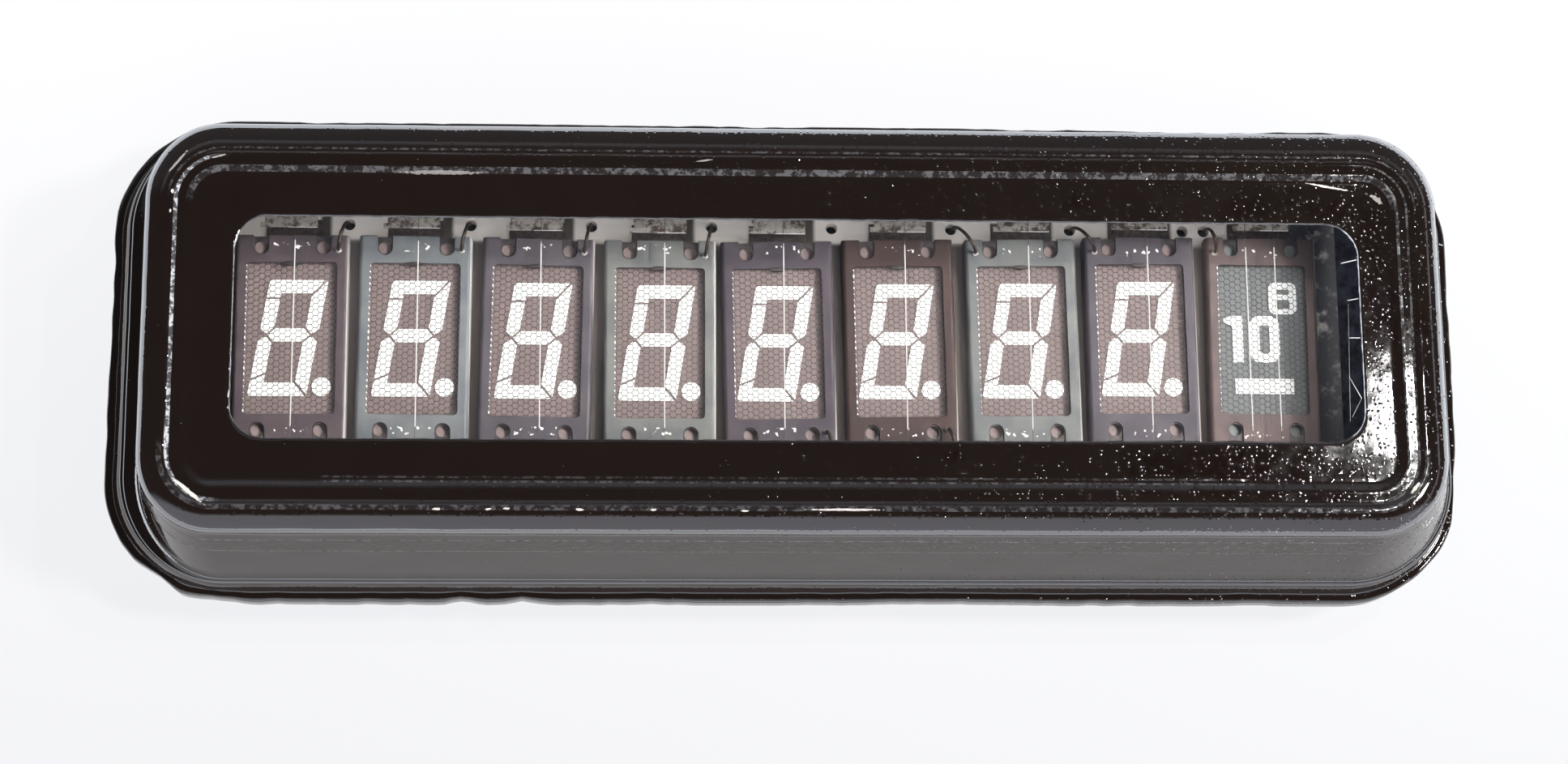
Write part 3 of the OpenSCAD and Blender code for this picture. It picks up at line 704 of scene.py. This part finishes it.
def set_material(material, *nodes):
    for name in nodes:
        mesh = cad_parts[name].data
        mesh.materials.clear()
        mesh.materials.append(material)


# The heat tint of each grid frame
FRAME_TINTS = [
    (0.053, 0.039, 0.044), (0.117, 0.125, 0.13), (0.056, 0.049, 0.057), (0.111, 0.114, 0.109), (0.04, 0.031, 0.039),
    (0.028, 0.014, 0.012), (0.105, 0.109, 0.108), (0.052, 0.044, 0.053), (0.085, 0.061, 0.058)]
FRAME_ROUNDING = 0.07
BRACKET_ROUNDING = 0.08
SHARP = math.radians(40)


def rounded_piece(name, node_name, material, width):
    """Stands for a sheet metal CAD node: the same shape with its sharp edges rounded."""
    made = bmesh.new()
    made.from_mesh(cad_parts[node_name].data)
    bmesh.ops.scale(made, vec=(1 / MM,) * 3, verts=made.verts)
    bmesh.ops.remove_doubles(made, verts=made.verts, dist=1e-4)
    bmesh.ops.dissolve_limit(made, angle_limit=math.radians(2), verts=made.verts, edges=made.edges)
    sharp = [edge for edge in made.edges if edge.is_manifold and edge.calc_face_angle() > SHARP]
    bmesh.ops.bevel(made, geom=sharp, offset=width, offset_type="OFFSET", segments=3, profile=0.5,
                    affect="EDGES", clamp_overlap=True)
    bmesh.ops.triangulate(made, faces=[face for face in made.faces if len(face.verts) > 4])
    made.verts.index_update()
    points = [tuple(v.co) for v in made.verts]
    faces = [[v.index for v in face.verts] for face in made.faces]
    made.free()
    piece = mesh_piece(name, points, faces, material, smooth=False)
    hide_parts(node_name)
    return piece


def tube(path, r, sides=10):
    """Rings of a round tube along a path, with its end caps."""
    path = np.array(path, float)
    rings = []
    for i, point in enumerate(path):
        along = path[min(i + 1, len(path) - 1)] - path[max(i - 1, 0)]
        along /= np.linalg.norm(along)
        across = np.cross(along, (0.3, 0.1, 0.05))
        across /= np.linalg.norm(across)
        upright = np.cross(along, across)
        angles = np.linspace(0, 2 * math.pi, sides, endpoint=False)
        rings.append(point + r * (np.outer(np.cos(angles), across) + np.outer(np.sin(angles), upright)))
    points, faces = skin(rings, False)
    faces += [tuple(range(sides))[::-1], tuple(range(len(points) - sides, len(points)))]
    return points, faces


def joined(parts):
    """Several point and face lists as one."""
    points, faces = [], []
    for some_points, some_faces in parts:
        faces += [tuple(i + len(points) for i in face) for face in some_faces]
        points += [tuple(p) for p in some_points]
    return points, faces


def blob(centre, half, rings=6, sides=10):
    """A low rounded bead of weld metal."""
    loops = []
    for i in range(1, rings):
        polar = math.pi * i / rings
        loops.append([(centre[0] + half[0] * math.sin(polar) * math.cos(a), centre[1] + half[1] * math.sin(polar)
                       * math.sin(a), centre[2] - half[2] * math.cos(polar))
                      for a in np.linspace(0, 2 * math.pi, sides, endpoint=False)])
    points, faces = skin([np.array(loop) for loop in loops], False)
    faces += [tuple(range(sides))[::-1], tuple(range(len(points) - sides, len(points)))]
    return points, faces


# The grid leads: for each digit, the side and the end of its frame where the lead is welded
LEAD_CORNERS = [(1, 1), (1, 1), (1, 1), (1, 1), (1, -1), (1, -1), (-1, 1), (-1, 1), (-1, 1)]
LEAD_R = 0.12
LEAD_RISE = 1.9
HOLE_SHIFT, LAST_HOLE_SHIFT = -0.45, 0.65
HOLE_OUT = 1.2
WELD_IN_X, WELD_IN_Y = 0.75, 1.1


def curve(points, steps_along=14):
    """Points along a cubic curve with four control points."""
    a, b, c, d = (np.array(p, float) for p in points)
    line = []
    for i in range(steps_along + 1):
        t = i / steps_along
        line.append((1 - t) ** 3 * a + 3 * t * (1 - t) ** 2 * b + 3 * t * t * (1 - t) * c + t**3 * d)
    return line


def make_leads(material, weld_metal):
    """Springy wires that loop out of the board's holes to the corners of the grid frames."""
    board_z = box("ceramic_board")[0][2]
    wires, welds = [], []
    for n, (side, end) in zip(DIGITS, LEAD_CORNERS):
        low, high = box(f"grid_frame_{n}")
        middle, half = (low + high) / 2, (high - low) / 2
        gap = n if side > 0 else n - 1
        hole_x = FIRST_X + (gap - 0.5) * PITCH + (LAST_HOLE_SHIFT if gap == LAST - 1 else HOLE_SHIFT)
        hole = np.array((hole_x, CENTRE_Y + end * (FRAME_HALF_Y + HOLE_OUT), board_z))
        weld = np.array((middle[0] + side * (half[0] - WELD_IN_X), middle[1] + end * (half[1] - WELD_IN_Y), high[2]))
        lift = np.array((0, 0, LEAD_RISE))
        over = hole + (hole - weld) * (0.1, 0.1, 0) + (0, 0, weld[2] - board_z + LEAD_RISE)
        wires.append(tube(curve([hole, over, weld + lift * 0.9, weld + (0, 0, LEAD_R)]), LEAD_R))
        welds.append(blob(weld, (0.24, 0.2, 0.2)))
    piece = mesh_piece("lead_wires", *joined(wires), material)
    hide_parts("grid_leads")
    beads = mesh_piece("lead_welds", *joined(welds), weld_metal)
    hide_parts("grid_leads")


# Scratches on the glass at the window's right end: two ends and a radius
SCRATCHES = [
    ((37.24, 4.46), (38.3, 4.72), 0.028), ((37.56, 1.84), (38.3, 1.98), 0.022), ((37.55, -0.78), (38.3, -0.78), 0.025),
    ((37.42, -3.5), (38.2, -5.0), 0.018), ((37.6, 1.6), (37.35, -6.6), 0.006), ((38.2, -5.0), (37.5, -6.3), 0.009)]


def make_scratches(material):
    """Fine pale scratches on the clear glass."""
    parts = [tube([(*a, PANEL_Z), (*b, PANEL_Z)], r, 6) for a, b, r in SCRATCHES]
    piece = mesh_piece("glass_scratches", *joined(parts), material)


# The upper brackets' tongues: reach from a digit's middle to the left and right, reach over the frame, thickness
TONGUE_X, TONGUE_REACH, TONGUE_T = (-2.1, 1.8), 0.22, 0.18
BRACKET_GAP = 0.4
# Painted highlight: a white line along each tongue's lower edge, its reach in X from a digit's middle, and its radius
EDGE_X, EDGE_LINE_R = (-0.2, 1.75), 0.035
# Dark strips on the board under them: half width, reach in Y from a frame's end, thickness
STRIP_HALF_X, STRIP_Y, STRIP_T = 1.95, (0.2, 1.5), 0.12


def block(low, high):
    """A plain box between two corners."""
    points = [(x, y, z) for x in (low[0], high[0]) for y in (low[1], high[1]) for z in (low[2], high[2])]
    return points, [(0, 1, 3, 2), (4, 6, 7, 5), (0, 4, 5, 1), (2, 3, 7, 6), (0, 2, 6, 4), (1, 5, 7, 3)]


def make_tongues(sheet, bright, dark):
    """The upper brackets' tongues, with a white line along the lower edge as a painted highlight, over dark strips on
    the board.
    """
    top = box("filament_springs")[1][2] - 0.01
    board_top = box("ceramic_board")[1][2]
    tongues, lines, dark_strips = [], [], []
    for n in DIGITS:
        low, high = box(f"grid_frame_{n}")
        x, y = (low + high)[:2] / 2
        end = y + FRAME_HALF_Y
        near = end + BRACKET_GAP
        tongues.append(block((x + TONGUE_X[0], near - TONGUE_REACH, top - TONGUE_T), (x + TONGUE_X[1], near + 0.1, top)))
        place = (near - TONGUE_REACH, top - EDGE_LINE_R)
        lines.append(tube([(x + EDGE_X[0], *place), (x + EDGE_X[1], *place)], EDGE_LINE_R, 8))
        dark_strips.append(block((x - STRIP_HALF_X, end + STRIP_Y[0], board_top),
                          (x + STRIP_HALF_X, end + STRIP_Y[1], board_top + STRIP_T)))
    for name, parts, material in (("bracket_tongues", tongues, sheet), ("bracket_edge_highlights", lines, bright),
                                  ("bracket_dark_strips", dark_strips, dark)):
        piece = mesh_piece(name, *joined(parts), material, smooth=False)
        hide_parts("filament_springs")


# A dark lens-shaped mark at the top of each opening: half size
LENS_HALF = (0.56, 0.15, 0.02)
OPENING_HALF_Y = 5.35
FRAME_HALF_Y = 7.3


def make_dark_lenses(material):
    """A dark lens-shaped mark at the middle of the upper edge of each opening but the last."""
    parts = []
    for n in range(1, LAST):
        low, high = box(f"grid_frame_{n}")
        middle = (low + high) / 2
        parts.append(blob((middle[0] - 0.05, middle[1] + OPENING_HALF_Y - 0.05, high[2] + 0.01), LENS_HALF, 6, 20))
    piece = mesh_piece("frame_dark_lenses", *joined(parts), material)


# The folded wire ends of the mesh along the left side of each opening, white as a painted highlight
END_R = 0.055
OPENING_HALF_X = 3.095


def make_wire_end_highlights(material):
    """Ends of the mesh wires, bent up over the left side of each opening, in plain white as a painted highlight."""
    rng = np.random.default_rng(5)
    parts = []
    for n in DIGITS:
        low, high = box(f"grid_frame_{n}")
        middle = (low + high) / 2
        turn = turn_of(f"grid_mesh_{n}")
        pitch = math.sqrt(3) * HEX_SIDE
        count = int(OPENING_HALF_Y * 2 / pitch)
        for i in range(count):
            y = (i - (count - 1) / 2) * pitch
            x = -OPENING_HALF_X + 0.01
            place = (middle[0] + x * math.cos(turn) - y * math.sin(turn),
                     middle[1] + x * math.sin(turn) + y * math.cos(turn), high[2] - 0.03)
            size = END_R * rng.uniform(0.6, 1.2)
            parts.append(blob(place, (size, size * rng.uniform(1.0, 2.4), size), 5, 8))
    piece = mesh_piece("mesh_wire_end_highlights", *joined(parts), material)


def make_filament_oxide():
    """White oxide on the middle of each filament, and the bare dark wire at its ends."""
    material, tree, shader = start_material("filament_oxide", Roughness=0.7)
    place = millimetres(tree)
    y = split(tree, place)[1]
    bare = steps(tree, maths(tree, "ABSOLUTE", maths(tree, "SUBTRACT", y, CENTRE_Y)), COATED_HALF, COATED_HALF + 0.1)
    white = blend(tree, noise(tree, place, 12.0), (0.48, 0.47, 0.45), (0.58, 0.57, 0.55))
    tree.links.new(blend(tree, bare, white, (0.12, 0.1, 0.09)), shader.inputs["Base Color"])
    tree.links.new(bare, shader.inputs["Metallic"])
    bump(tree, shader, noise(tree, place, 20.0, 1.0), 0.003)
    return material


COATED_HALF = 6.5


def finish_cad_nodes():
    set_material(make_plain("sealing_glass", (0.02, 0.018, 0.016), (0.05, 0.045, 0.04), 2.0), "seal_bead")
    set_material(make_plain("tip_glass", (0.5, 0.55, 0.53), (0.6, 0.64, 0.62), 1.0, (0.02, 0.08), 0.004,
                            Transmission_Weight=0.9, IOR=1.5), "exhaust_tip")
    pins = make_plain("tinned_wire", (0.42, 0.4, 0.36), (0.62, 0.6, 0.56), 1.5, (0.3, 0.5), 0.006, Metallic=0.9)
    set_material(pins, "front_pins", "back_pins")
    set_material(make_board(), "ceramic_board")
    getter = make_plain("getter_sheet", (0.3, 0.3, 0.32), (0.5, 0.5, 0.52), 1.5, (0.25, 0.4), Metallic=0.9)
    set_material(getter, "getter_ring", "getter_post")
    bracket_metal = make_bracket_metal()
    for name in ("filament_springs", "filament_anchors"):
        rounded_piece(name.replace("filament", "bracket"), name, bracket_metal, BRACKET_ROUNDING)
    dark_wire = make_plain("oxidised_wire", (0.02, 0.015, 0.012), (0.07, 0.05, 0.04), 3.0, Metallic=0.6)
    make_leads(dark_wire, make_plain("weld_metal", (0.6, 0.52, 0.45), (0.9, 0.85, 0.8), 6.0, (0.2, 0.4), Metallic=0.8))
    # Painted highlight: a plain white for the wire ends and the tongues' edges
    bright = make_plain("painted_highlight_white", (0.8, 0.78, 0.75), (0.98, 0.97, 0.95), 4.0, (0.3, 0.5), Metallic=0.2)
    make_wire_end_highlights(bright)
    make_tongues(bracket_metal, bright, make_plain("bracket_dark_strip", (0.035, 0.025, 0.022), (0.09, 0.065, 0.06), 3.0))
    make_scratches(make_plain("scratched_glass", (0.7, 0.69, 0.66), (0.95, 0.94, 0.9), 6.0))
    make_dark_lenses(make_plain("dark_lens_mark", (0.008, 0.006, 0.005), (0.03, 0.02, 0.016), 6.0))
    pink = make_anode("anode_pink", (0.17, 0.125, 0.12), (0.23, 0.175, 0.165))
    grey = make_anode("anode_grey", (0.13, 0.14, 0.14), (0.18, 0.19, 0.19))
    # Painted glow: a faint emission makes the unlit powder read brighter
    powder = make_plain("phosphor_powder_painted_glow", (0.88, 0.89, 0.86), (0.95, 0.96, 0.93), 6.0, (0.8, 0.95), 0.02,
                        Emission_Color=(1.0, 1.0, 0.97, 1), Emission_Strength=0.27)
    for n, (red, green, blue) in zip(DIGITS, FRAME_TINTS):
        dark = (0.8 * red, 0.8 * green, 0.84 * blue)
        light = (1.2 * red, 1.18 * green, 1.14 * blue)
        metal = make_frame_metal(f"frame_tint_{n}", dark, light, box(f"grid_frame_{n}")[1][0])
        rounded_piece(f"frame_{n}", f"grid_frame_{n}", metal, FRAME_ROUNDING)
        set_material(grey if n == LAST else pink, f"anode_plate_{n}")
        set_material(powder, f"phosphor_{n}")
    oxide = make_filament_oxide()
    for n in DIGITS:
        set_material(oxide, f"filament_{n}")


def make_anode(name, dark, light):
    """Matte glaze with a mottled grain."""
    material, tree, shader = start_material(name)
    place = millimetres(tree)
    grain = noise(tree, place, 9.0, 3.0, 0.7)
    tree.links.new(blend(tree, steps(tree, grain, 0.35, 0.65), dark, light), shader.inputs["Base Color"])
    tree.links.new(steps(tree, grain, 0.3, 0.7, 0.55, 0.75), shader.inputs["Roughness"])
    bump(tree, shader, grain, 0.015)
    return material


def make_board():
    """Cream ceramic, with painted shade between the frames and a painted shadow beside the brackets, and a mottled film
    at the right.
    """
    material, tree, shader = start_material("board_ceramic", Roughness=0.7)
    place = millimetres(tree)
    x, y, z = split(tree, place)
    edge = box("ceramic_board")[1][0]
    grain = noise(tree, place, 5.0, 3.0, 0.6)
    cream = blend(tree, grain, (0.93, 0.84, 0.76), (0.98, 0.91, 0.84))
    clouds = noise(tree, place, 0.8, 4.0, 0.65)
    film = maths(tree, "MULTIPLY", steps(tree, maths(tree, "MULTIPLY_ADD", clouds, 6.0, x), 36.5, 39.5),
                 steps(tree, clouds, 0.25, 0.5))
    film = maths(tree, "MULTIPLY", film, steps(tree, x, edge - 1.5, edge - 0.1, 1.0, 0.8))
    # Painted shadow on the board beside the right end of each bracket
    beside = band(tree, digit_place(tree, x), 1.95, 2.35, 0.35)
    shade = maths(tree, "MULTIPLY", beside, steps(tree, maths(tree, "ABSOLUTE", y), 7.5, 7.7))
    colour = blend(tree, film, cream, (0.078, 0.078, 0.095))
    # Painted shade on the board in the narrow gaps between the frames
    right, top, _ = box("grid_frame_9")[1]
    painted_gap_shade = maths(tree, "MULTIPLY", steps(tree, x, right, right + 0.2, 1.0, 0.0),
                           steps(tree, y, top - 0.5, top + 0.1, 1.0, 0.0))
    colour = blend(tree, painted_gap_shade, colour, (0.17, 0.145, 0.13))
    tree.links.new(blend(tree, shade, colour, (0.07, 0.06, 0.05)), shader.inputs["Base Color"])
    bump(tree, shader, grain, 0.01)
    return material


def make_bracket_metal():
    """Grey-beige sheet with brown heat stains."""
    material, tree, shader = start_material("bracket_sheet", Metallic=0.3, Roughness=0.45)
    place = millimetres(tree)
    stain = steps(tree, noise(tree, place, 1.4, 4.0, 0.7), 0.45, 0.62)
    tone = blend(tree, noise(tree, place, 4.0), (0.28, 0.25, 0.22), (0.5, 0.46, 0.4))
    tree.links.new(blend(tree, stain, tone, (0.07, 0.045, 0.035)), shader.inputs["Base Color"])
    bump(tree, shader, noise(tree, place, 8.0), 0.01)
    return material


# ---- Studio ----

CAMERA_PLACE = (-13.08, -54.46, 228.60)
CAMERA_RIGHT = (0.99840998, -0.00752735, 0.05586454)
CAMERA_UP = (-0.00564516, 0.97270989, 0.23195604)
CAMERA_BACK = (-0.05608601, -0.23190259, 0.97112077)
NEAR_FLOOR = (60.0, 31.0)
FLOOR_FADE = 0.002
FLOOR_GLOW, FAR_GLOW = 0.835, 6.0
LENS = 74.47
SENSOR = 36.0


def make_camera():
    camera = bpy.data.objects.new("camera", bpy.data.cameras.new("camera"))
    bpy.context.scene.collection.objects.link(camera)
    axes = Matrix((CAMERA_RIGHT, CAMERA_UP, CAMERA_BACK)).transposed().to_4x4()
    camera.matrix_world = Matrix.Translation(Vector(CAMERA_PLACE) * MM) @ axes
    camera.data.lens = LENS
    camera.data.sensor_width = SENSOR
    camera.data.sensor_fit = "HORIZONTAL"
    camera.data.clip_start = 0.01
    camera.data.clip_end = 10.0
    bpy.context.scene.camera = camera


def make_floor():
    """A lit sheet of pale acrylic that shows soft shadows only, brighter some way off than round the object."""
    material, tree, shader = start_material("pale_floor", Roughness=0.75)
    place = millimetres(tree)
    tone = noise(tree, place, 0.02, 2.0)
    tree.links.new(blend(tree, tone, (0.06, 0.06, 0.062), (0.065, 0.065, 0.065)), shader.inputs["Base Color"])
    x, y, z = split(tree, place)
    far_x, far_y = (maths(tree, "SUBTRACT", maths(tree, "ABSOLUTE", v), half) for v, half in zip((x, y), NEAR_FLOOR))
    far = steps(tree, maths(tree, "MAXIMUM", far_x, far_y), 0.0, 10.0)
    glow = blend(tree, far, blend(tree, tone, (0.975, 0.98, 1.0), (0.99, 0.99, 1.0)), (0.88, 0.93, 1.0))
    tree.links.new(glow, shader.inputs["Emission Color"])
    strength = maths(tree, "MULTIPLY_ADD", far, FAR_GLOW - FLOOR_GLOW, FLOOR_GLOW)
    tree.links.new(maths(tree, "MULTIPLY_ADD", y, FLOOR_FADE, strength), shader.inputs["Emission Strength"])
    half = 1500.0
    corners = [(-half, -half, 0), (half, -half, 0), (half, half, 0), (-half, half, 0)]
    floor = mesh_piece("floor", corners, [(0, 1, 2, 3)], material, smooth=False, body=None)


def area_light(name, place, target, size, watts, colour=(1, 1, 1)):
    """A rectangular softbox that faces a point, with one side along Y; lengths are in millimetres."""
    lamp = bpy.data.lights.new(name, "AREA")
    lamp.shape = "RECTANGLE"
    lamp.size, lamp.size_y = size[0] * MM, size[1] * MM
    lamp.energy = watts
    lamp.color = colour
    softbox = bpy.data.objects.new(name, lamp)
    bpy.context.scene.collection.objects.link(softbox)
    back = (Vector(place) - Vector(target)).normalized()
    across = Vector((0, 1, 0)).cross(back).normalized()
    axes = Matrix((across, back.cross(across), back)).transposed().to_4x4()
    softbox.matrix_world = Matrix.Translation(Vector(place) * MM) @ axes


def make_world():
    """A dark hood overhead, a large soft window in front and a dim room behind."""
    world = bpy.data.worlds.new("studio")
    bpy.context.scene.world = world
    world.use_nodes = True
    tree = world.node_tree
    x, y, z = split(tree, node(tree, "TexCoord").outputs["Generated"])
    front = steps(tree, maths(tree, "MULTIPLY", y, -1.0), 0.27, 0.47)
    low = steps(tree, z, 0.0, 0.14, 1.0, 0.0)
    window = maths(tree, "MULTIPLY", front, maths(tree, "MULTIPLY_ADD", low, 7.0, 2.8))
    behind = maths(tree, "MULTIPLY", steps(tree, y, 0.3, 0.5), 0.25)
    strip = maths(tree, "MULTIPLY", band(tree, z, 0.74, 0.8, 0.06), steps(tree, y, 0.3, 0.4))
    lamp_strip = maths(tree, "MULTIPLY", band(tree, z, 0.42, 0.5, 0.03), steps(tree, x, 0.6, 0.75))
    glows = maths(tree, "MULTIPLY_ADD", lamp_strip, 2.5, maths(tree, "ADD", window, behind))
    total = maths(tree, "ADD", glows, maths(tree, "MULTIPLY_ADD", strip, 0.7, 0.1))
    tree.links.new(total, tree.nodes["Background"].inputs["Strength"])
    tree.nodes["Background"].inputs["Color"].default_value = (0.88, 0.92, 1.04, 1)


def make_studio():
    make_camera()
    make_floor()
    make_world()
    area_light("spark", (113, 59, 303), (40, -6, 18), (2.4, 12), 0.22, (1.0, 0.99, 0.97))
    area_light("key", (290, -12, 450), (0, 0, 10), (60, 60), 2.5, (1.0, 0.98, 0.96))
    scene = bpy.context.scene
    scene.view_settings.view_transform = "Standard"


make_studio()
make_coat(make_paint())
clear = make_clear_glass()
make_cover(clear)
make_base(make_plain("base_glass", (0.07, 0.072, 0.11), (0.22, 0.23, 0.32), 0.8, (0.1, 0.2), 0.01))
make_meshes(make_plain("etched_sheet", (0.035, 0.03, 0.03), (0.065, 0.055, 0.055), 5.0, (0.4, 0.6), 0.004, Metallic=0.6))
finish_cad_nodes()
